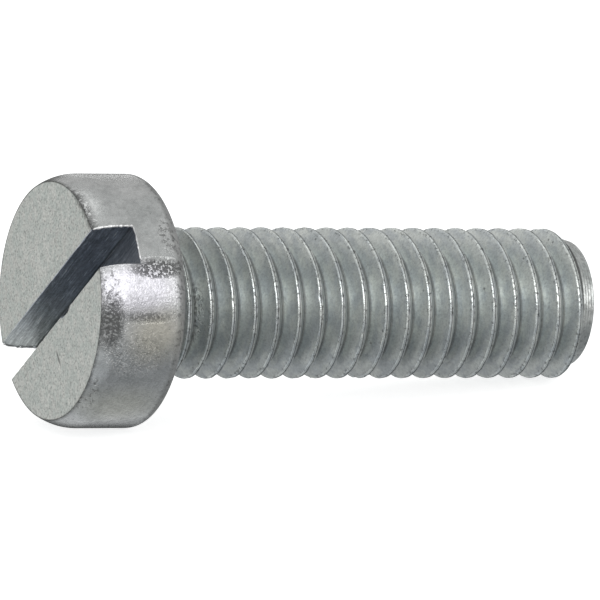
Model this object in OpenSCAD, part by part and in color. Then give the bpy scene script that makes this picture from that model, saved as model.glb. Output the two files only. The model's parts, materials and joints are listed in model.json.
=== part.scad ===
// Slotted cheese head machine screw, M8 x 25, cold headed and thread rolled from one piece of steel wire.
// It lies at rest on its head's edge and on the last thread crest, with the point towards +X.
// Inside the modules z runs down the thread from the seat under the head, and +X there is the downward side.

/* [Thread] */
// Outer diameter of the thread, at the low end of the tolerance for a nominal 8
thread_d = 7.8; // [7.6:0.05:8]
// Advance of the right-hand thread in one turn
pitch = 1.25; // [1:0.05:1.5]
// Length from the seat under the head to the end of the point
shank_len = 25; // [12:1:50]
// Included angle of the thread's flanks
flank_angle = 60; // [55:1:60]
// Where the thread's crest passes the downward side, as a distance from the seat
crest_start = 0.46; // [0:0.01:1.2]
// Plain length under the head before the thread begins to rise
neck_len = 0.55; // [0.3:0.05:1]
// Length over which the thread rises to its full depth
run_out_len = 0.8; // [0.4:0.1:2]

/* [Head] */
// Diameter of the head
head_d = 13; // [12:0.1:14]
// Height of the head
head_h = 4.7; // [4.2:0.1:5.2]
// Diameter of the flat top, inside the crowned edge
face_d = 12.2; // [11:0.1:12.4]
// How far the crowned edge reaches down the side of the head
crown_len = 1.45; // [1:0.05:1.8]
// Radius of the edge round the seat
seat_edge_r = 0.5; // [0.2:0.05:0.8]
// Radius of the fillet between the seat and the neck
fillet_r = 0.6; // [0.5:0.05:0.8]
// How far the head was upset off the thread's axis
head_shift = 0.1; // [0:0.02:0.2]

/* [Slot] */
// Width of the sawn slot
slot_w = 2.13; // [1.8:0.01:2.4]
// Depth of the slot from the flat top
slot_depth = 2.15; // [1.8:0.05:2.6]
// How far the slot was sawn off the head's middle
slot_shift = 0.19; // [0:0.01:0.3]
// Turn of the slot about the axis, from the downward side
slot_turn = 49.9; // [0:0.1:90]

/* [Point] */
// Diameter of the flat end
point_d = 6.42; // [5.8:0.02:6.8]
// Slope of the point's cone against the axis
point_slope = 45; // [35:1:60]

/* [Hidden] */
steel = "#a7aca9";
turn_steps = 36;
thread_r = thread_d / 2;
head_r = head_d / 2;
face_r = face_d / 2;
point_r = point_d / 2;

// Thread section: a sharp triangle cut off an eighth at the crest, rounded off below a quarter at the root
sharp_h = pitch / (2 * tan(flank_angle / 2));
crest_half = pitch / 16;
flank_h = 5 / 8 * sharp_h;
flank_run = flank_h * tan(flank_angle / 2);
root_h = flank_h + sharp_h / 12;
blank_r = thread_r - 0.325 * pitch;
section = [
    [-crest_half, thread_r],
    [crest_half, thread_r],
    [crest_half + flank_run, thread_r - flank_h],
    [pitch / 2, thread_r - root_h],
    [pitch - crest_half - flank_run, thread_r - flank_h]
];
section_n = len(section);

// The rod starts inside the head and ends past the point, where the envelope cuts it
rod_sunk = pitch + 0.2;
first_z = crest_start - pitch * ceil((crest_start + rod_sunk) / pitch);
turns = ceil((shank_len + pitch - first_z) / pitch);
rod_steps = turns * turn_steps;

// The point's cone reaches the thread's outer diameter this far from the seat
cone_z = shank_len - (thread_r - point_r) / tan(point_slope);

// Radius of the crowned edge, tangent to the side of the head
crown_drop = head_r - face_r;
crown_r = (crown_len * crown_len + crown_drop * crown_drop) / (2 * crown_drop);

// The last crest on the downward side that the cone leaves whole carries the thread end
last_crest_z = crest_start + pitch * floor((cone_z - crest_start) / pitch);
contact_z = min(last_crest_z + crest_half, cone_z);
// Lying angle at which the edge of the seat and that crest are level
drop = head_r - head_shift - seat_edge_r - thread_r;
reach = contact_z + seat_edge_r;
lie_tilt = atan2(drop, reach) + asin(seat_edge_r / norm([drop, reach]));
seat_height = seat_edge_r * (1 - sin(lie_tilt)) + (head_r - head_shift - seat_edge_r) * cos(lie_tilt);
low_x = -head_h * cos(lie_tilt) - (face_r - head_shift) * sin(lie_tilt);
high_x = shank_len * cos(lie_tilt) + point_r * sin(lie_tilt);

// Share of the full thread depth at a distance from the seat
function rise(z) =
    let (u = min(max((z - neck_len) / run_out_len, 0), 1))
    u * u * (3 - 2 * u);

// Point k of the section at step i of the helix
function rod_point(i, k) =
    let (
        turn = 360 * i / turn_steps,
        z = first_z + pitch * i / turn_steps + section[k][0],
        r = blank_r + (section[k][1] - blank_r) * rise(z)
    )
    [r * cos(turn), r * sin(turn), z];

// Number of a point in the rod's list, where one past the section is the same place a turn later
function rod_index(i, k) = k < section_n ? i * section_n + k : (i + turn_steps) * section_n + k - section_n;

// Right-hand thread over the whole shank, closed at each end by a fan to a point on the axis
module rod() {
    points = [for (i = [0 : rod_steps + turn_steps], k = [0 : section_n - 1]) rod_point(i, k)];
    start = len(points);
    finish = start + 1;
    start_z = first_z + pitch / 2;
    finish_z = start_z + pitch * turns;
    sides = [
        for (i = [0 : rod_steps - 1], k = [0 : section_n - 1])
            each [
                [rod_index(i, k), rod_index(i, k + 1), rod_index(i + 1, k + 1)],
                [rod_index(i, k), rod_index(i + 1, k + 1), rod_index(i + 1, k)]
            ]
    ];
    start_fan = [
        for (i = [0 : turn_steps - 1]) [start, rod_index(i, 0), rod_index(i + 1, 0)]
    ];
    start_step = [
        for (k = [0 : section_n - 1]) [start, rod_index(0, k + 1), rod_index(0, k)]
    ];
    finish_fan = [
        for (i = [rod_steps : rod_steps + turn_steps - 1]) [finish, rod_index(i + 1, 0), rod_index(i, 0)]
    ];
    finish_step = [
        for (k = [0 : section_n - 1]) [finish, rod_index(rod_steps, k), rod_index(rod_steps, k + 1)]
    ];
    polyhedron(
        points = concat(points, [[0, 0, start_z], [0, 0, finish_z]]),
        faces = concat(sides, start_fan, start_step, finish_fan, finish_step),
        convexity = 6
    );
}

// Space that the blank filled: a wide bar cut off by the point's cone and its flat end
module point_envelope() {
    out_r = thread_r + 1;
    out_z = shank_len - (out_r - point_r) / tan(point_slope);
    rotate_extrude($fn = 96)
        polygon([[0, -2 * rod_sunk], [out_r, -2 * rod_sunk], [out_r, out_z], [point_r, shank_len], [0, shank_len]]);
}

// Thread with its chamfered point
module thread() {
    intersection() {
        rod();
        point_envelope();
    }
}

// Fillet from the neck out to the seat, its inner side hidden in the neck
module fillet() {
    sunk = 0.03;
    inner_r = blank_r - sunk;
    rotate_extrude($fn = 96)
        difference() {
            translate([inner_r - 0.5, -0.5])
                square([0.5 + fillet_r, 0.5 + fillet_r]);
            translate([inner_r + fillet_r, fillet_r])
                circle(fillet_r, $fn = 64);
        }
}

// Cheese head before it is slotted: crowned at the top edge and rounded at the seat
module head_blank() {
    translate([-head_shift, 0, 0])
        rotate_extrude($fn = 96) {
            translate([0, crown_len - head_h])
                square([head_r, head_h - crown_len - seat_edge_r]);
            translate([0, -head_h])
                square([head_r - crown_r, crown_len]);
            intersection() {
                translate([head_r - crown_r, crown_len - head_h])
                    circle(crown_r, $fn = 128);
                translate([head_r - crown_r, -head_h])
                    square([crown_r, crown_len]);
            }
            translate([0, -seat_edge_r])
                square([head_r - seat_edge_r, seat_edge_r]);
            intersection() {
                translate([head_r - seat_edge_r, -seat_edge_r])
                    circle(seat_edge_r, $fn = 64);
                translate([head_r - seat_edge_r, -seat_edge_r])
                    square(seat_edge_r);
            }
        }
}

// Slot sawn straight across the top
module slot_cut() {
    rotate([0, 0, slot_turn])
        translate([-head_d, -slot_w / 2 - slot_shift, -head_h - 1])
            cube([2 * head_d, slot_w, slot_depth + 1]);
}

module screw() {
    color(steel)
        translate([-(low_x + high_x) / 2, 0, seat_height])
            rotate([0, 90 + lie_tilt, 0])
                difference() {
                    union() {
                        head_blank();
                        fillet();
                        thread();
                    }
                    slot_cut();
                }
}

screw();
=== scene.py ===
import json
import math

import bpy
import numpy as np
from mathutils import Matrix, Vector


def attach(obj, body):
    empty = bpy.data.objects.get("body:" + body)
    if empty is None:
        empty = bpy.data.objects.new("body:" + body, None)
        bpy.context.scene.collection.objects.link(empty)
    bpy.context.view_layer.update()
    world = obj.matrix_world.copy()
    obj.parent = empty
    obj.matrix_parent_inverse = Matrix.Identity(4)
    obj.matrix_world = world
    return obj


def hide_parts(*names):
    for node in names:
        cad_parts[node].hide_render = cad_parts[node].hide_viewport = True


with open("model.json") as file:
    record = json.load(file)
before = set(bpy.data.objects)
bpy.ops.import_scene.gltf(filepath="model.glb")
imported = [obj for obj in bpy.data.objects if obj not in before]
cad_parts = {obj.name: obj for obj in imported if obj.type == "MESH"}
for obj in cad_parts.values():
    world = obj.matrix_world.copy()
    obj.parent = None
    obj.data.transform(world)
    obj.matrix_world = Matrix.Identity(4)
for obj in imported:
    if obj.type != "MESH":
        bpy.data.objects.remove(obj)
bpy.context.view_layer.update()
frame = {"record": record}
print("frame loaded")

mm = 0.001

# The screw's own axes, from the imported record: its thread dips a little from the seat to the point
mounts = {mount["name"]: mount for mount in frame["record"]["mounts"]}
alongThread = Vector(mounts["thread"]["axis"]).normalized()
sideways = Vector((0, 1, 0))
downSide = sideways.cross(alongThread).normalized()
threadMountDepth = 13.0  # mm from the seat to the place of the record's thread mount
seatCentre = Vector(mounts["thread"]["pos_m"]) - alongThread * threadMountDepth * mm
screwToWorld = Matrix.Translation(seatCentre) @ Matrix((
    (downSide.x, sideways.x, alongThread.x, 0),
    (downSide.y, sideways.y, alongThread.y, 0),
    (downSide.z, sideways.z, alongThread.z, 0),
    (0, 0, 0, 1),
)) @ Matrix.Scale(mm, 4)

# All sizes below are in mm, in the screw's own axes: z from the seat to the point, x to the downward side
thread = {
    "outerRadius": 3.9,
    "pitch": 1.25,
    "length": 25.0,
    "crestStart": 0.46,      # where the crest crosses the downward side
    "neckLength": 0.55,
    "runOut": 0.8,           # the thread rises to its full depth over this length
    "sunk": 1.4,             # the rod starts at least this far inside the head
    "blankDrop": 0.325,      # the blank lies this share of the pitch under the crest
    "stepsPerTurn": 160,
    # The rolled crest is a high ridge, a seam and a low ridge: distance from its middle and depth below its top
    "crest": [(-0.13, 0.075), (-0.115, 0.04), (-0.098, 0.018), (-0.065, 0.006), (-0.035, 0), (-0.015, 0.006),
              (0.005, 0.024), (0.03, 0.024), (0.055, 0.012), (0.085, 0.014), (0.112, 0.028), (0.13, 0.06)],
    "flankAngle": 60,
    "flankCuts": (0.33, 0.67),
    "rootDepth": 0.767,
    "rootRadius": 0.08,
    "rootSteps": (60, 38, 18),  # degrees round the root's radius
    "wear": {"depth": 0.012, "grain": 0.35, "reach": 0.2},  # nibbled crest; its depth fades over the reach
    "knocks": {"count": 90, "width": (0.15, 0.5), "depth": (0.015, 0.05)},
    "nick": {"turn": 6, "angle": 254, "depth": 0.1, "width": 6, "steep": 1.3},  # its half width in degrees
}
head = {
    "radius": 6.5,
    "height": 4.7,
    "faceRadius": 6.1,
    "crownLength": 1.45,
    "seatEdge": 0.5,
    "fillet": 0.6,
    "shift": 0.1,            # the head was upset this far off the thread's axis, upwards
    "filletSunk": 0.03,      # the fillet's inner side is hidden this deep in the neck
    "faceRings": (0, 1.5, 3.0, 4.2, 5.2, 5.8),  # radii of the rings of points on the flat top
    "crownRings": 14,        # how many rings each of these has
    "sideRings": 10,
    "edgeRings": 12,
    "seatRing": 5.0,         # radius of the one ring on the seat, then of the one hidden in the neck
    "hubRing": 2.0,
    "segments": 288,
}
slot = {
    "width": 2.13,
    "depth": 2.15,
    "shift": 0.19,
    "turn": 49.9,            # degrees from the downward side
    "bevel": 0.02,
    "ragged": 0.03,          # how far the saw's burr wanders along the edges
    "raggedGrain": 0.22,
    "corner": 0.015,         # between the walls and the floor
    "floorWave": 0.012,
    "waveGrain": 0.8,
    "bite": {"place": -1.35, "length": 0.75, "depth": 0.16, "steep": 1.6},
    "cutter": {"reach": 9, "stations": 241, "above": 1},  # it sticks out this far at both ends and above
}
burr = {
    "radius": 0.06,
    "swell": 0.55,           # share of its radius that comes and goes
    "swellGrain": 0.1,
    "stray": 0.3,            # share of its radius that it wanders in and out
    "strayGrain": 0.16,
    "onFloor": 0.6,          # it is slimmer across the slot's floor
    "tip": 0.01,
    "wallSteps": 40,
    "floorSteps": 36,
    "spacing": 0.06,         # mm from one step to the next
    "sides": 8,
    "topGap": 0.05,          # it stops this short of the slot's mouth, corner and far wall
    "cornerGap": 0.04,
    "farGap": 0.25,
}
point = {
    "radius": 3.21,
    "slope": 45,
    "coreStart": 24.12,      # past here the rolled grooves only reach down to the turned blank
    "coreRadius": 3.46,
    "ridges": 4,
    "ridgeLand": 0.6,        # share of a ridge that is flat on top
    "ridgeRise": 0.01,
    "fadeStart": 24.3,       # past here the thread isn't filled either
    "fadeLength": 0.25,
    "coreSunk": 0.5,         # the core starts this far before that, and this far out
    "coreInside": 2.9,
    "spare": 0.1,            # the core stands this far past the end, where the envelope cuts it
    "envelopeSpare": 1,      # the envelope is this much wider than the thread and starts inside the head
    "envelopeBack": -3,
    "coneRings": 12,
    "segments": 216,
}

zones = ["face", "side", "slot", "thread", "point", "burr"]


def smoothStep(value):
    u = np.clip(value, 0, 1)
    return u * u * (3 - 2 * u)


def hexToLinear(code):
    values = [int(code[i:i + 2], 16) / 255 for i in (1, 3, 5)]
    linear = [v / 12.92 if v <= 0.04045 else ((v + 0.055) / 1.055) ** 2.4 for v in values]
    return (*linear, 1.0)


def addNode(tree, kind, parts=None, output=0):
    node = tree.nodes.new(kind)
    for name, value in (parts or {}).items():
        if isinstance(value, bpy.types.NodeSocket):
            tree.links.new(value, node.inputs[name])
        elif isinstance(name, int) or name in node.inputs:
            node.inputs[name].default_value = value
        else:
            setattr(node, name, value)
    return node.outputs[output] if node.outputs else None


# Steel wire, cold headed, sawn and thread rolled, then zinc plated and clear passivated. The eye reads a soft
# grey-green metal: matt where it was struck flat, scuffed and bright on the head's side, satin in the thread.
# The plating's real grain is some hundredths of a mm and wouldn't show, so it is drawn as 0.1 mm specks.
# Each mark is a product of masks, which shifts the tone, the height (mm) and the roughness where it is 1.
# A mask runs from 0 to 1 as its pattern goes "from" one value "to" another; scales are features to the mm.
looks = {
    "face": {  # struck flat by the heading die and tumbled: the mattest part
        "light": "#e9ebe6", "dark": "#dfe1dc", "rough": 0.5, "cloud": 0.35,
        "marks": [
            # Grain and dark specks all over
            {"masks": [("noise", {"scale": 7, "from": 0.38, "to": 0.62})],
             "tone": -0.2, "height": 0.003, "rough": 0.05},
            {"masks": [("noise", {"scale": 2.2, "from": 0.4, "to": 0.6})], "tone": -0.07, "tint": "#dfe5e0"},
            {"masks": [("noise", {"scale": 9, "from": 0.55, "to": 0.66})], "tone": -0.42, "height": -0.006},
            {"masks": [("pits", {"scale": 1.3, "share": 0.3, "from": 0.12, "to": 0.04})],
             "tone": -0.2, "height": -0.01},
            # Painted shade: a dark line along the edge of the flat top; then the ragged part of that edge
            {"masks": [("radius", {"centre": -0.1, "from": 6.02, "to": 6.08})], "tone": -0.8},
            {"masks": [("radius", {"centre": -0.1, "from": 5.75, "to": 6.0}),
                       ("noise", {"scale": 4, "from": 0.4, "to": 0.52}),
                       ("spot", {"centre": (-4.6, -4.0, -4.7), "size": (3, 3, 1), "from": 1, "to": 0.6})],
             "tone": -0.6, "height": -0.03},
            # Short scratch
            {"masks": [("spot", {"centre": (2.57, -1.59, -4.7), "turn": -45, "size": (0.6, 0.1, 1),
                                 "from": 1, "to": 0.4})],
             "tone": -0.6, "height": -0.02},
        ],
    },
    "side": {  # upset against the die's wall: bright, with pits and scuffs
        "light": "#dfe0df", "dark": "#cccecd", "rough": 0.21, "cloud": 0.6,
        "marks": [
            # Grain, clouds and pits all over
            {"masks": [("noise", {"scale": 6, "from": 0.35, "to": 0.65})],
             "tone": -0.13, "height": 0.002, "rough": 0.08},
            {"masks": [("noise", {"scale": 12, "from": 0.35, "to": 0.65})], "tone": -0.1, "height": 0.002},
            {"masks": [("noise", {"scale": 2.2, "from": 0.4, "to": 0.65})], "tone": -0.14, "rough": 0.04},
            {"masks": [("pits", {"scale": 2.4, "share": 0.25, "from": 0.13, "to": 0.05})],
             "tone": -0.4, "height": -0.015},
            # Painted shade, broken up, along the edge of the flat top; then painted shade and a rougher finish round
            # the seat edge, where the highlight fades; then pits on that edge
            {"masks": [("depth", {"from": -4.56, "to": -4.68}), ("noise", {"scale": 5, "from": 0.35, "to": 0.5})],
             "tone": -0.55},
            {"masks": [("depth", {"from": -0.65, "to": -0.45})], "tone": -0.32, "rough": 0.3},
            {"masks": [("depth", {"from": -0.75, "to": -0.55}), ("radius", {"centre": -0.1, "from": 6.1, "to": 6.25}),
                       ("noise", {"scale": 5, "from": 0.54, "to": 0.6})],
             "tone": -0.35, "height": -0.015},
            # Dark scuffed patch below the slot's end
            {"masks": [("spot", {"centre": (-0.2, -6.3, -4.15), "size": (1.35, 1.5, 0.6), "from": 1.2, "to": 0.6}),
                       ("noise", {"scale": 2.5, "from": 0.34, "to": 0.46})],
             "tone": -0.3, "rough": -0.06},
            {"masks": [("spot", {"centre": (-0.2, -6.3, -4.15), "size": (1.45, 1.5, 0.65), "from": 1.2, "to": 0.5}),
                       ("noise", {"scale": 6, "stretch": (1.4, 1, 1.4), "from": 0.45, "to": 0.53})],
             "tone": -0.55, "height": 0.05},
            # Fresh metal beside the patch and lower down the crown
            {"masks": [("spot", {"centre": (4.2, -4.6, -4.4), "size": (3.5, 3.5, 0.9), "from": 1, "to": 0.3})],
             "tone": 0.16},
            {"masks": [("spot", {"centre": (2.1, -5.9, -4.35), "size": (1.3, 1.5, 0.55), "from": 1, "to": 0.6})],
             "tone": 0.45},
            {"masks": [("spot", {"centre": (3.9, -5.1, -4.5), "size": (1.4, 1.4, 0.5), "from": 1.1, "to": 0.7}),
                       ("noise", {"scale": 4.5, "from": 0.52, "to": 0.6})],
             "tone": -0.5, "height": -0.02},
            # Dark and light specks on the middle of the side
            {"masks": [("spot", {"centre": (1.6, -6.3, -2.6), "size": (1.3, 2, 1.9), "from": 1, "to": 0.6}),
                       ("noise", {"scale": 8, "from": 0.52, "to": 0.6})],
             "tone": -0.35, "height": -0.01},
            {"masks": [("spot", {"centre": (1.2, -6.3, -2.8), "size": (1.8, 2, 1.9), "from": 1, "to": 0.6}),
                       ("noise", {"scale": 9, "from": 0.58, "to": 0.64})],
             "tone": 0.3, "height": 0.008},
            # Pitted line under the bright zone
            {"masks": [("spot", {"centre": (-0.55, -6.4, -2.4), "size": (0.32, 1.5, 1.7), "from": 1.1, "to": 0.5}),
                       ("noise", {"scale": 8, "from": 0.47, "to": 0.53})],
             "tone": -0.5, "height": -0.03},
            # The passivated layer turns yellowish low down and bluish in the bright zone
            {"masks": [("spot", {"centre": (0.4, -6.4, -1.7), "size": (1.6, 2, 1.6), "from": 1.2, "to": 0.4})],
             "tint": "#d9d6cb"},
            {"masks": [("spot", {"centre": (4.4, -4.8, -2.6), "size": (1.4, 2, 2.4), "from": 1.2, "to": 0.4})],
             "tint": "#dbdbd3"},
            {"masks": [("spot", {"centre": (-2.0, -6.1, -2.9), "size": (1.4, 2, 2.4), "from": 1.2, "to": 0.6})],
             "tint": "#d6d5db"},
            # Knocked crown above the slot's end, flecks in the bright zone, pits beside the slot and above it
            {"masks": [("depth", {"from": -4.2, "to": -4.6}), ("noise", {"scale": 4, "from": 0.42, "to": 0.52}),
                       ("spot", {"centre": (-4.8, -3.2, -4.6), "size": (2.6, 3.4, 1), "from": 1, "to": 0.6})],
             "tone": -0.55, "height": -0.03},
            {"masks": [("spot", {"centre": (-1.9, -6.1, -4.25), "size": (1.3, 1.6, 0.5), "from": 1.1, "to": 0.6}),
                       ("noise", {"scale": 4.5, "from": 0.53, "to": 0.6})],
             "tone": -0.35, "height": -0.02},
            {"masks": [("spot", {"centre": (-3.0, -5.8, -1.6), "size": (0.5, 1.5, 1.5), "from": 1.1, "to": 0.6}),
                       ("noise", {"scale": 8, "from": 0.46, "to": 0.52})],
             "tone": -0.72, "height": -0.05},
            {"masks": [("spot", {"centre": (-4.5, -4.7, -0.8), "size": (1.2, 1.2, 0.5), "from": 1.1, "to": 0.6}),
                       ("noise", {"scale": 4.5, "from": 0.5, "to": 0.58})],
             "tone": -0.4, "height": -0.02},
        ],
    },
    "slot": {  # sawn: fine lines along the cut, plating thinner and darker
        "light": "#dfe6f0", "dark": "#c6ced9", "rough": 0.38, "cloud": 0.8,
        "marks": [
            # Painted light, in a less bluish tint, towards the end that opens downwards
            {"masks": [("spot", {"centre": (4.0, 4.9, -3.6), "size": (5.5, 5.5, 9), "from": 1, "to": 0})],
             "tone": 0.5, "tint": "#ccd0cb"},
            # Bright and dark saw lines
            {"masks": [("noise", {"scale": 1, "turn": 49.9, "stretch": (1.0, 8, 8), "from": 0.58, "to": 0.68})],
             "tone": 0.9, "height": 0.01},
            {"masks": [("noise", {"scale": 1, "turn": 49.9, "stretch": (0.8, 12, 12), "from": 0.4, "to": 0.6})],
             "tone": -0.35, "height": 0.006},
            {"masks": [("noise", {"scale": 7, "from": 0.4, "to": 0.6})], "tone": -0.2, "height": 0.003},
            # Painted shade on the slot's floor
            {"masks": [("depth", {"from": -2.75, "to": -2.6})], "tone": -0.62},
        ],
    },
    "thread": {  # rolled: smooth flanks under a satin deposit of zinc, with rougher roots and painted shade in them
        "light": "#f0f4f0", "dark": "#e0e5e2", "rough": 0.4, "cloud": 0.45,
        "marks": [
            # Grain, drawn-out clouds and pits all over
            {"masks": [("noise", {"scale": 6, "from": 0.35, "to": 0.65})],
             "tone": -0.17, "height": 0.004, "rough": 0.04},
            {"masks": [("noise", {"scale": 11, "from": 0.5, "to": 0.7})], "tone": -0.2, "height": -0.003},
            {"masks": [("noise", {"scale": 1.6, "stretch": (0.5, 0.5, 2.2), "from": 0.42, "to": 0.6})],
             "tone": -0.04, "tint": "#d8dedf"},
            {"masks": [("pits", {"scale": 1.4, "share": 0.2, "from": 0.13, "to": 0.05})],
             "tone": -0.5, "height": -0.02},
            # Painted shade in the root, which is also rougher, and on the foot of the flank towards the point
            {"masks": [("radius", {"centre": 0, "from": 3.2, "to": 3.13})], "tone": -0.65, "rough": 0.25},
            {"masks": [("phase", {"from": 0.12, "to": 0.15}), ("phase", {"from": 0.36, "to": 0.28})], "tone": -0.45},
            # Polished line on the high ridge, a darker seam, dull low ridge, and wear across all three
            {"masks": [("phase", {"from": -0.14, "to": -0.12}), ("phase", {"from": -0.01, "to": -0.03})],
             "tone": 0.15, "rough": -0.2},
            {"masks": [("phase", {"from": -0.02, "to": 0.0}), ("phase", {"from": 0.05, "to": 0.03}),
                       ("radius", {"centre": 0, "from": 3.7, "to": 3.8})],
             "tone": -0.7, "rough": 0.15},
            {"masks": [("phase", {"from": 0.03, "to": 0.05}), ("phase", {"from": 0.13, "to": 0.11}),
                       ("radius", {"centre": 0, "from": 3.7, "to": 3.8})],
             "tone": -0.2, "rough": 0.08},
            {"masks": [("phase", {"from": -0.19, "to": -0.15}), ("phase", {"from": 0.12, "to": 0.1}),
                       ("radius", {"centre": 0, "from": 3.7, "to": 3.8}),
                       ("noise", {"scale": 6, "from": 0.57, "to": 0.63})],
             "tone": -0.4, "height": -0.015, "rough": 0.15},
            # Pits where the thread runs out under the head
            {"masks": [("spot", {"centre": (0.3, -3.2, 1.9), "size": (2.2, 1.2, 0.45), "from": 1.1, "to": 0.7}),
                       ("noise", {"scale": 6, "from": 0.5, "to": 0.58})],
             "tone": -0.35, "height": -0.04, "rough": -0.15},
            # Painted shade towards the head and along the downward side
            {"masks": [("spot", {"centre": (3.2, -2.5, 17), "size": (2.5, 4, 8), "from": 1, "to": 0.4})],
             "tone": -0.14},
            {"masks": [("depth", {"from": 18, "to": 0})], "tone": -0.1},
            {"masks": [("spot", {"centre": (3.4, -1.6, 12), "size": (1.6, 1.6, 40), "from": 1, "to": 0.5})],
             "tone": -0.2},
        ],
    },
    "point": {  # turned to a cone before rolling, so it keeps the tool's rings
        "light": "#d6d8d6", "dark": "#c0c4c2", "rough": 0.3, "cloud": 1.2,
        "marks": [
            {"masks": [("noise", {"scale": 6, "from": 0.35, "to": 0.65})], "tone": -0.2, "height": 0.003},
            {"masks": [("noise", {"scale": 3, "from": 0.5, "to": 0.6})], "tone": -0.2, "height": -0.005},
            # Painted shade in the groove behind the last crest, which is also rougher
            {"masks": [("depth", {"from": 24.32, "to": 24.24})], "tone": -0.7, "rough": 0.3},
            {"masks": [("pits", {"scale": 1.5, "share": 0.18, "from": 0.13, "to": 0.05})],
             "tone": -0.3, "height": -0.015},
        ],
    },
    "burr": {  # smeared over the slot's end by the saw: fresh and bright
        "light": "#f4f4f4", "dark": "#e6e6e6", "rough": 0.35, "cloud": 1.0,
        "marks": [{"masks": [("noise", {"scale": 6, "from": 0.35, "to": 0.65})], "tone": -0.1, "height": 0.003}],
    },
}


grain = {"Detail": 3.0, "Roughness": 0.6}


def maskOf(tree, place, kind, m):
    if kind in ("noise", "spot"):
        spot = addNode(tree, "ShaderNodeVectorMath",
                       {"operation": "SUBTRACT", 0: place, 1: m.get("centre", (0, 0, 0))})
        turned = addNode(tree, "ShaderNodeMapping",
                         {"Vector": spot, "Rotation": (0, 0, -math.radians(m.get("turn", 0)))})
    if kind == "noise":
        stretched = addNode(tree, "ShaderNodeVectorMath",
                            {"operation": "MULTIPLY", 0: turned, 1: m.get("stretch", (1, 1, 1))})
        value = addNode(tree, "ShaderNodeTexNoise", {"Vector": stretched, "Scale": m["scale"], **grain})
    elif kind == "spot":
        scaled = addNode(tree, "ShaderNodeVectorMath", {"operation": "DIVIDE", 0: turned, 1: m["size"]})
        value = addNode(tree, "ShaderNodeVectorMath", {"operation": "LENGTH", 0: scaled}, "Value")
    elif kind == "pits":
        # A share of the cells, the others pushed out of reach
        cells = {"Vector": place, "Scale": m["scale"]}
        distance = addNode(tree, "ShaderNodeTexVoronoi", cells, "Distance")
        lot = addNode(tree, "ShaderNodeTexVoronoi", cells, "Color")
        left = addNode(tree, "ShaderNodeMath",
                       {"operation": "GREATER_THAN", 0: addNode(tree, "ShaderNodeSeparateColor", {"Color": lot}),
                        1: m["share"]})
        value = addNode(tree, "ShaderNodeMath", {"operation": "ADD", 0: distance, 1: left})
    elif kind == "radius":
        flat = addNode(tree, "ShaderNodeVectorMath",
                       {"operation": "MULTIPLY_ADD", 0: place, 1: (1, 1, 0), 2: (-m["centre"], 0, 0)})
        value = addNode(tree, "ShaderNodeVectorMath", {"operation": "LENGTH", 0: flat}, "Value")
    elif kind == "phase":
        # Distance along the axis from the middle of the nearest crest, more than 0 towards the point
        x, y, z = (addNode(tree, "ShaderNodeSeparateXYZ", {"Vector": place}, axis) for axis in "XYZ")
        turn = addNode(tree, "ShaderNodeMath", {"operation": "ARCTAN2", 0: y, 1: x})
        offset = addNode(tree, "ShaderNodeMath",
                         {"operation": "MULTIPLY_ADD", 0: turn, 1: -thread["pitch"] / (2 * math.pi), 2: z})
        offset = addNode(tree, "ShaderNodeMath", {"operation": "SUBTRACT", 0: offset, 1: thread["crestStart"]})
        value = addNode(tree, "ShaderNodeMath",
                        {"operation": "WRAP", 0: offset, 1: thread["pitch"] / 2, 2: -thread["pitch"] / 2})
    else:
        value = addNode(tree, "ShaderNodeSeparateXYZ", {"Vector": place}, "Z")
    return addNode(tree, "ShaderNodeMapRange", {"Value": value, "From Min": m["from"], "From Max": m["to"]})


def zincPlate(name, look):
    material = bpy.data.materials.new(name)
    material.use_nodes = True
    tree = material.node_tree
    tree.nodes.clear()
    place = addNode(tree, "ShaderNodeAttribute", {"attribute_name": "screwPlace"}, "Vector")
    cloud = maskOf(tree, place, "noise", {"scale": look["cloud"], "from": 0.35, "to": 0.65})
    tone = addNode(tree, "ShaderNodeMix",
                   {"data_type": "RGBA", 0: cloud, 6: hexToLinear(look["dark"]), 7: hexToLinear(look["light"])}, 2)
    shade, height, rough = 1.0, 0.0, look["rough"]
    for mark in look["marks"]:
        mask = 1.0
        for kind, settings in mark["masks"]:
            mask = addNode(tree, "ShaderNodeMath",
                           {"operation": "MULTIPLY", 0: mask, 1: maskOf(tree, place, kind, settings)})
        gain = addNode(tree, "ShaderNodeMath",
                       {"operation": "MULTIPLY_ADD", 0: mask, 1: mark.get("tone", 0.0), 2: 1.0})
        shade = addNode(tree, "ShaderNodeMath", {"operation": "MULTIPLY", 0: gain, 1: shade})
        if "height" in mark:
            height = addNode(tree, "ShaderNodeMath",
                             {"operation": "MULTIPLY_ADD", 0: mask, 1: mark["height"], 2: height})
        if "tint" in mark:
            tone = addNode(tree, "ShaderNodeMix",
                           {"data_type": "RGBA", 0: mask, 6: tone, 7: hexToLinear(mark["tint"])}, 2)
        if "rough" in mark:
            rough = addNode(tree, "ShaderNodeMath",
                            {"operation": "MULTIPLY_ADD", 0: mask, 1: mark["rough"], 2: rough})
    colour = addNode(tree, "ShaderNodeVectorMath", {"operation": "SCALE", 0: tone, "Scale": shade})
    relief = addNode(tree, "ShaderNodeBump", {"Strength": 1.0, "Distance": mm, "Height": height})
    shader = addNode(tree, "ShaderNodeBsdfPrincipled",
                     {"Metallic": 1.0, "Base Color": colour, "Roughness": rough, "Normal": relief})
    addNode(tree, "ShaderNodeOutputMaterial", {"Surface": shader})
    return material


zoneMaterials = {name: zincPlate(name + "Zinc", looks[name]) for name in zones}
print("materials made")


dice = np.random.default_rng(7)


def wander(places, spacing):
    # Random line between -1 and 1 with a knot every spacing mm
    knots = np.arange(places.min(), places.max() + 2 * spacing, spacing)
    return np.interp(places, knots, dice.uniform(-1, 1, len(knots)))


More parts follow.
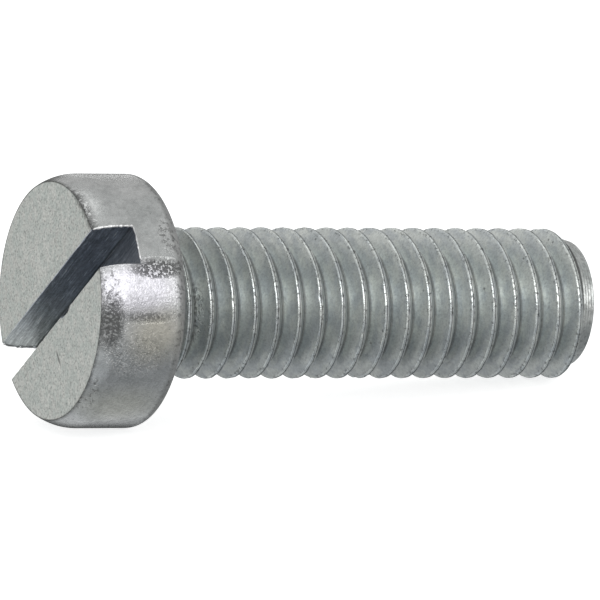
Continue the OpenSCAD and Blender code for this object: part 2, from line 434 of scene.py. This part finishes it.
def makeMesh(name, points, faces, zone):
    mesh = bpy.data.meshes.new(name)
    mesh.from_pydata([tuple(p) for p in points], [], faces)
    made = bpy.data.objects.new(name, mesh)
    bpy.context.scene.collection.objects.link(made)
    for zoneName in zones:
        mesh.materials.append(zoneMaterials[zoneName])
    mesh.polygons.foreach_set("material_index", [zones.index(zone)] * len(mesh.polygons))
    return made


def revolve(name, outline, segments, zone, centreX=0.0):
    # Outline of (radius, z) from axis to axis
    turns = np.arange(segments) * 2 * math.pi / segments
    points = [(centreX, 0, outline[0][1])]
    for r, z in outline[1:-1]:
        points += [(centreX + r * math.cos(a), r * math.sin(a), z) for a in turns]
    points.append((centreX, 0, outline[-1][1]))
    rings, last = len(outline) - 2, len(points) - 1
    top = 1 + (rings - 1) * segments
    faces = []
    for s in range(segments):
        n = (s + 1) % segments
        faces.append((0, 1 + n, 1 + s))
        for k in range(rings - 1):
            low, high = 1 + k * segments, 1 + (k + 1) * segments
            faces.append((low + s, low + n, high + n, high + s))
        faces.append((last, top + s, top + n))
    return makeMesh(name, points, faces, zone)


def sweep(name, rows, zone):
    # Closed tube through rows of points, one row to a station
    steps, count = len(rows) - 1, len(rows[0])
    points = [p for row in rows for p in row]
    faces = [tuple(range(count)), tuple(steps * count + k for k in reversed(range(count)))]
    for row in range(steps):
        low, high = row * count, (row + 1) * count
        for k in range(count):
            n = (k + 1) % count
            faces.append((low + k, high + k, high + n, low + n))
    return makeMesh(name, points, faces, zone)


def threadSection():
    # One turn's section: down to the root on the head's side, over the crest and down to the next root
    t = thread
    half, rr = t["pitch"] / 2, t["rootRadius"]
    rootR = t["outerRadius"] - t["rootDepth"]
    tangent = math.radians(90 - t["flankAngle"] / 2)
    crest = [(side, t["outerRadius"] - drop) for side, drop in t["crest"]]
    joinS, joinR = half - rr * math.sin(tangent), rootR + rr - rr * math.cos(tangent)
    sides = []
    for sign, (startS, startR) in ((-1, crest[0]), (1, crest[-1])):
        steps = [(startS + (sign * joinS - startS) * share, startR + (joinR - startR) * share)
                 for share in t["flankCuts"]]
        steps += [(sign * (half - rr * math.sin(a)), rootR + rr - rr * math.cos(a))
                  for a in np.radians(t["rootSteps"])]
        sides.append(steps)
    return np.array(list(reversed(sides[0])) + crest + sides[1] + [(half, rootR)])


def crestLoss(rows, sunkTurns):
    # Wear along the crest, with small knocks and the one large nick
    t = thread
    n = t["stepsPerTurn"]
    path = np.arange(rows) * 2 * math.pi * t["outerRadius"] / n
    loss = t["wear"]["depth"] * (0.5 + 0.5 * wander(path, t["wear"]["grain"]))
    for place in dice.uniform(path[0], path[-1], t["knocks"]["count"]):
        width, depth = dice.uniform(*t["knocks"]["width"]), dice.uniform(*t["knocks"]["depth"])
        loss += depth * smoothStep(1 - abs(path - place) / width)
    nick = t["nick"]
    row = np.arange(rows) - n * (nick["turn"] + sunkTurns + nick["angle"] / 360)
    loss += nick["depth"] * smoothStep(nick["steep"] * (1 - abs(row) * 360 / n / nick["width"]))
    return loss


def blankRadius():
    return thread["outerRadius"] - thread["blankDrop"] * thread["pitch"]


def buildRod():
    # Right-hand thread on the whole rod; one past the end of a section is the same place a turn later
    t = thread
    section = threadSection()
    count, n = len(section), t["stepsPerTurn"]
    blank = blankRadius()
    sunkTurns = math.ceil((t["crestStart"] + t["sunk"]) / t["pitch"])
    firstZ = t["crestStart"] - t["pitch"] * sunkTurns
    turns = math.ceil((t["length"] + t["pitch"] - firstZ) / t["pitch"])
    rows = turns * n
    i = np.arange(rows + n + 1)[:, None]
    angle = 2 * math.pi * i / n
    z = firstZ + t["pitch"] * i / n + section[None, :, 0]
    rise = smoothStep((z - t["neckLength"]) / t["runOut"])
    onCrest = np.clip(1 - (t["outerRadius"] - section[:, 1]) / t["wear"]["reach"], 0, 1)
    r = section[None, :, 1] - crestLoss(rows + n + 1, sunkTurns)[:, None] * onCrest[None, :]
    r = blank + (r - blank) * rise
    fade = smoothStep((z - point["fadeStart"]) / point["fadeLength"])
    r += fade * np.minimum(0, coreRadius(z) - r)
    points = np.stack([r * np.cos(angle), r * np.sin(angle), z], -1).reshape(-1, 3).tolist()

    def index(row, k):
        return row * count + k if k < count else (row + n) * count + k - count

    faces = [(index(row, k), index(row + 1, k), index(row + 1, k + 1), index(row, k + 1))
             for row in range(rows) for k in range(count)]
    # Closed at each end by a fan to a point on the axis
    start, finish = len(points), len(points) + 1
    points.append((0, 0, firstZ + t["pitch"] / 2))
    points.append((0, 0, firstZ + t["pitch"] * (turns + 0.5)))
    for row in range(n):
        faces.append((start, index(row + 1, 0), index(row, 0)))
        faces.append((finish, index(rows + row, 0), index(rows + row + 1, 0)))
    for k in range(count):
        faces.append((start, index(0, k), index(0, k + 1)))
        faces.append((finish, index(rows, k + 1), index(rows, k)))
    return makeMesh("threadRod", points, faces, "thread")


def coreRadius(z):
    # Radius of the turned blank near the point
    p = point
    share = (z - p["coreStart"]) / (thread["length"] - p["coreStart"])
    return p["coreRadius"] + (p["radius"] - p["coreRadius"]) * share


def arc(centreR, centreZ, radius, fromDegrees, toDegrees, steps):
    angles = np.radians(np.linspace(fromDegrees, toDegrees, steps))
    return [(centreR + radius * math.cos(a), centreZ + radius * math.sin(a)) for a in angles]


def crownRadius():
    drop = head["radius"] - head["faceRadius"]
    return (head["crownLength"] ** 2 + drop ** 2) / (2 * drop)


def headRadius(z):
    # Radius of the head's side at a depth between its flat top and its seat edge
    crown = crownRadius()
    lower = max(0.0, head["crownLength"] - head["height"] - z)
    return head["radius"] - crown + math.sqrt(crown ** 2 - lower ** 2)


def buildHead():
    h = head
    crown = crownRadius()
    crownSweep = math.degrees(math.asin(h["crownLength"] / crown))
    crownEnd = h["crownLength"] - h["height"]
    neckR = blankRadius() - h["filletSunk"]
    outline = [(r, -h["height"]) for r in h["faceRings"]]
    outline += arc(h["radius"] - crown, crownEnd, crown, -crownSweep, 0, h["crownRings"])
    outline += [(h["radius"], z) for z in np.linspace(crownEnd, -h["seatEdge"], h["sideRings"])[1:-1]]
    outline += arc(h["radius"] - h["seatEdge"], -h["seatEdge"], h["seatEdge"], 0, 90, h["edgeRings"])
    outline.append((h["seatRing"], 0))
    outline += arc(neckR + h["fillet"], h["fillet"], h["fillet"], 270, 180, h["edgeRings"])
    outline += [(h["hubRing"], h["fillet"]), (0, h["fillet"])]
    return revolve("headBlank", outline, h["segments"], "side", -h["shift"])


def buildCore():
    # Turned blank under the last turn, with the rings that the tool left
    p, end = point, thread["length"]
    outline = [(0, p["coreStart"] - p["coreSunk"]), (p["coreInside"], p["coreStart"] - p["coreSunk"])]
    step = (end - p["coreStart"]) / (p["ridges"] + 1)
    for z in p["coreStart"] + step * np.arange(p["ridges"] + 1):
        outline += [(coreRadius(z), z), (coreRadius(z) + p["ridgeRise"], z + step * p["ridgeLand"])]
    outline += [(coreRadius(end), end), (coreRadius(end) - p["spare"], end + p["spare"]), (0, end + p["spare"])]
    return revolve("pointCore", outline, p["segments"], "point")


def buildEnvelope():
    # What the blank filled: a wide bar with a cone and a flat end
    p, t = point, thread
    outer = t["outerRadius"] + p["envelopeSpare"]
    outerZ = t["length"] - (outer - p["radius"]) / math.tan(math.radians(p["slope"]))
    outline = [(0, p["envelopeBack"]), (outer, p["envelopeBack"])]
    outline += [(outer + (p["radius"] - outer) * share, outerZ + (t["length"] - outerZ) * share)
                for share in np.linspace(0, 1, p["coneRings"])]
    return revolve("pointEnvelope", outline + [(0, t["length"])], p["segments"], "point")


def slotPlace(along, across, z):
    turn = math.radians(slot["turn"])
    return (along * math.cos(turn) - across * math.sin(turn), along * math.sin(turn) + across * math.cos(turn), z)


def buildSlotCutter():
    # Ragged bevels at the mouth, slightly wavy floor; one of its edges has the bite
    s, cutter, bite = slot, slot["cutter"], slot["bite"]
    half, shift, corner = s["width"] / 2, s["shift"], s["corner"]
    mouth = -head["height"]
    floor, above = mouth + s["depth"], mouth - cutter["above"]
    stations = np.linspace(-cutter["reach"], cutter["reach"], cutter["stations"])
    upper = s["bevel"] + s["ragged"] * np.maximum(0, wander(stations, s["raggedGrain"]))
    lower = s["bevel"] + s["ragged"] * np.maximum(0, wander(stations, s["raggedGrain"]))
    lower += bite["depth"] * smoothStep(bite["steep"] * (1 - abs(stations - bite["place"]) / bite["length"]))
    floorWave = s["floorWave"] * wander(stations, s["waveGrain"])
    rows = []
    for station, near, far, wave in zip(stations, lower, upper, floorWave):
        outline = [(-half - near, above), (-half - near, mouth), (-half, mouth + near),
                   (-half, floor - corner + wave), (-half + corner, floor + wave), (half - corner, floor + wave),
                   (half, floor - corner + wave), (half, mouth + far), (half + far, mouth), (half + far, above)]
        rows.append([slotPlace(station, side - shift, z) for side, z in outline])
    return sweep("slotCutter", rows, "slot")


def buildBurr(end):
    # Bead of smeared metal on the edge where the saw ran out: down one wall of the slot and across its floor
    s, b = slot, burr
    half, mouth = s["width"] / 2, -head["height"]
    floor = mouth + s["depth"]
    wall = half - s["shift"]
    turn = math.radians(s["turn"])
    centreAlong, centreAcross = -head["shift"] * math.cos(turn), head["shift"] * math.sin(turn)
    farWall = -half - s["shift"]
    path = [(wall, z) for z in np.linspace(mouth + b["topGap"], floor - b["cornerGap"], b["wallSteps"])]
    path += [(a, floor) for a in np.linspace(wall - b["cornerGap"], farWall + b["farGap"], b["floorSteps"])]
    places = np.arange(len(path)) * b["spacing"]
    swell = b["radius"] * (1 + b["swell"] * wander(places, b["swellGrain"]))
    stray = b["stray"] * b["radius"] * wander(places, b["strayGrain"])
    rows = []
    for k, (across, z) in enumerate(path):
        reach = math.sqrt(headRadius(z) ** 2 - (across - centreAcross) ** 2)
        middle = Vector(slotPlace(centreAlong + end * (reach + stray[k]), across, z))
        out = (middle - Vector((-head["shift"], 0, z))).normalized()
        onWall = k < b["wallSteps"]
        alongPath = Vector((0, 0, 1)) if onWall else Vector(slotPlace(0, -1, 0))
        side = out.cross(alongPath).normalized()
        radius = swell[k] * (1 if onWall else b["onFloor"]) if 0 < k < len(path) - 1 else b["tip"]
        rows.append([middle + (out * math.cos(a) + side * math.sin(a)) * radius
                     for a in np.arange(b["sides"]) * 2 * math.pi / b["sides"]])
    return sweep("burr", rows, "burr")


def combine(target, tool, operation):
    modifier = target.modifiers.new(operation, "BOOLEAN")
    modifier.operation = operation
    modifier.object = tool
    modifier.solver = "MANIFOLD"
    result = bpy.data.meshes.new_from_object(target.evaluated_get(bpy.context.evaluated_depsgraph_get()))
    target.modifiers.clear()
    target.data = result
    bpy.data.objects.remove(tool)
    print(operation, "gives", len(result.polygons), "faces")


screw = buildRod()
combine(screw, buildCore(), "UNION")
combine(screw, buildEnvelope(), "INTERSECT")
combine(screw, buildHead(), "UNION")
combine(screw, buildSlotCutter(), "DIFFERENCE")
for end in (-1, 1):
    combine(screw, buildBurr(end), "UNION")
print("screw shaped")

mesh = screw.data
mesh.name = "dressedScrew"
screw.name = "dressedScrew"
places = np.empty(len(mesh.vertices) * 3, np.float32)
mesh.vertices.foreach_get("co", places)
mesh.attributes.new("screwPlace", "FLOAT_VECTOR", "POINT").data.foreach_set("vector", places)
# The flat top takes the face's finish
faceDepth = 0.01 - head["height"]
for polygon in mesh.polygons:
    if polygon.material_index == zones.index("side") and polygon.center.z < faceDepth:
        polygon.material_index = zones.index("face")
mesh.transform(screwToWorld)
mesh.update()
mesh.polygons.foreach_set("use_smooth", [True] * len(mesh.polygons))
sharpAngle = 28  # degrees; the facets of the curves meet at less
mesh.set_sharp_from_angle(angle=math.radians(sharpAngle))
print("triangles", sum(len(p.vertices) - 2 for p in mesh.polygons))

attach(screw, "root")
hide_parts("screw")

# Floor: white board lit from below, as a light table is; the metal doesn't mirror it
floor = {"size": 8.0, "colour": "#f4f4f4", "rough": 0.9, "glow": 0.75}
bpy.ops.mesh.primitive_plane_add(size=floor["size"], location=(0, 0, 0))
board = bpy.context.object
board.name = "floorBoard"
boardPaint = bpy.data.materials.new("whiteBoard")
boardPaint.use_nodes = True
boardShader = boardPaint.node_tree.nodes["Principled BSDF"]
boardShader.inputs["Base Color"].default_value = hexToLinear(floor["colour"])
boardShader.inputs["Roughness"].default_value = floor["rough"]
boardShader.inputs["Emission Color"].default_value = hexToLinear(floor["colour"])
boardShader.inputs["Emission Strength"].default_value = floor["glow"]
board.data.materials.append(boardPaint)
board.visible_glossy = False

# Studio walls: light all round, dim and bluish low down in front, light low down behind
studio = {  # front and behind: (height of the direction from -1 to 1, brightness, colour)
    "front": [(-1.0, 0.32, "#f6fbff"), (-0.85, 0.2, "#f2f9ff"), (-0.7, 0.24, "#f2f9ff"), (-0.5, 0.42, "#f8fcff"),
              (-0.3, 0.68, "#ffffff"), (-0.1, 0.56, "#ffffff"), (0.05, 0.43, "#ffffff"), (0.3, 0.46, "#ffffff"),
              (0.65, 0.66, "#fdffff"), (1.0, 0.68, "#fdffff")],
    "behind": [(-1.0, 0.5, "#f8fcff"), (-0.75, 0.85, "#fbfdff"), (-0.46, 0.52, "#fbfdff"), (-0.2, 0.7, "#ffffff"),
               (0.0, 0.85, "#ffffff"), (0.3, 0.7, "#ffffff"), (0.6, 0.55, "#ffffff"), (1.0, 0.64, "#fdffff")],
    "turnover": 0.8,  # how far front and behind reach past the sides before they give way to each other
}
world = bpy.data.worlds.new("studioAir")
bpy.context.scene.world = world
world.use_nodes = True
air = world.node_tree
air.nodes.clear()
# A dark card hangs far behind the screw and draws its edges
card = {"toward": (0.43, 0.88, -0.22), "inner": 24, "outer": 36, "tone": 0.08}
direction = addNode(air, "ShaderNodeTexCoord", {}, "Generated")
height = addNode(air, "ShaderNodeMapRange",
                 {"From Min": -1.0, "Value": addNode(air, "ShaderNodeSeparateXYZ", {"Vector": direction}, "Z")})
walls = []
for side in ("front", "behind"):
    walls.append(addNode(air, "ShaderNodeValToRGB", {"Fac": height}))
    ramp = walls[-1].node.color_ramp
    for level, _, _ in studio[side][1:-1]:
        ramp.elements.new((level + 1) / 2)
    for stop, (level, tone, tint) in zip(ramp.elements, studio[side]):
        stop.position = (level + 1) / 2
        stop.color = tuple(tone * part for part in hexToLinear(tint)[:3]) + (1,)
northward = addNode(air, "ShaderNodeSeparateXYZ", {"Vector": direction}, "Y")
depth = addNode(air, "ShaderNodeMapRange",
                {"From Min": -studio["turnover"], "From Max": studio["turnover"], "Value": northward})
walls = addNode(air, "ShaderNodeMix", {"data_type": "RGBA", 0: depth, 6: walls[0], 7: walls[1]}, 2)
toCard = addNode(air, "ShaderNodeVectorMath",
                 {"operation": "DOT_PRODUCT", 0: direction, 1: Vector(card["toward"]).normalized()}, "Value")
shadeOfCard = addNode(air, "ShaderNodeMapRange",
                      {"Value": toCard, "From Min": math.cos(math.radians(card["outer"])),
                       "From Max": math.cos(math.radians(card["inner"])), "To Min": 1.0, "To Max": card["tone"]})
walls = addNode(air, "ShaderNodeVectorMath", {"operation": "SCALE", 0: walls, "Scale": shadeOfCard})
addNode(air, "ShaderNodeOutputWorld", {"Surface": addNode(air, "ShaderNodeBackground", {"Color": walls})})

softboxes = {  # where each hangs as seen from the screw, its size in metres and how bright its cloth is
    "frontBox": {"toward": (0.0, -0.917, 0.399), "distance": 0.75, "width": 0.94, "height": 0.42,
                 "brightness": 1.58},
    "backBox": {"toward": (0.45, 0.85, 0.15), "distance": 0.9, "width": 0.3, "height": 0.12, "brightness": 1.3},
    "overheadBox": {"toward": (-0.1, 0.35, 0.93), "distance": 0.9, "width": 0.5, "height": 0.5,
                    "brightness": 0.5},
}
for name, box in softboxes.items():
    lampData = bpy.data.lights.new(name, "AREA")
    lampData.shape = "RECTANGLE"
    lampData.size, lampData.size_y = box["width"], box["height"]
    lampData.energy = box["brightness"] * math.pi * box["width"] * box["height"]
    lamp = bpy.data.objects.new(name, lampData)
    bpy.context.scene.collection.objects.link(lamp)
    aim = Vector(box["toward"]).normalized()
    lamp.location = aim * box["distance"]
    lamp.rotation_mode = "QUATERNION"
    lamp.rotation_quaternion = (-aim).to_track_quat("-Z", "Y")

# Camera: long lens from in front of the head, turned a little to the screw's side
camera = {
    "lens": 677.1,
    "sensor": 36,
    "clip": (0.01, 20),                     # m
    "place": (-248.68, -509.15, 135.03),    # mm
    "azimuth": 25.9905,
    "elevation": 12.8795,
}
view = bpy.data.cameras.new("camera")
view.lens = camera["lens"]
view.sensor_width = camera["sensor"]
view.clip_start, view.clip_end = camera["clip"]
viewer = bpy.data.objects.new("camera", view)
bpy.context.scene.collection.objects.link(viewer)
viewer.location = Vector(camera["place"]) * mm
viewer.rotation_euler = (math.radians(90 - camera["elevation"]), 0, -math.radians(camera["azimuth"]))
bpy.context.scene.camera = viewer
bpy.context.scene.view_settings.view_transform = "Standard"
print("studio lit")
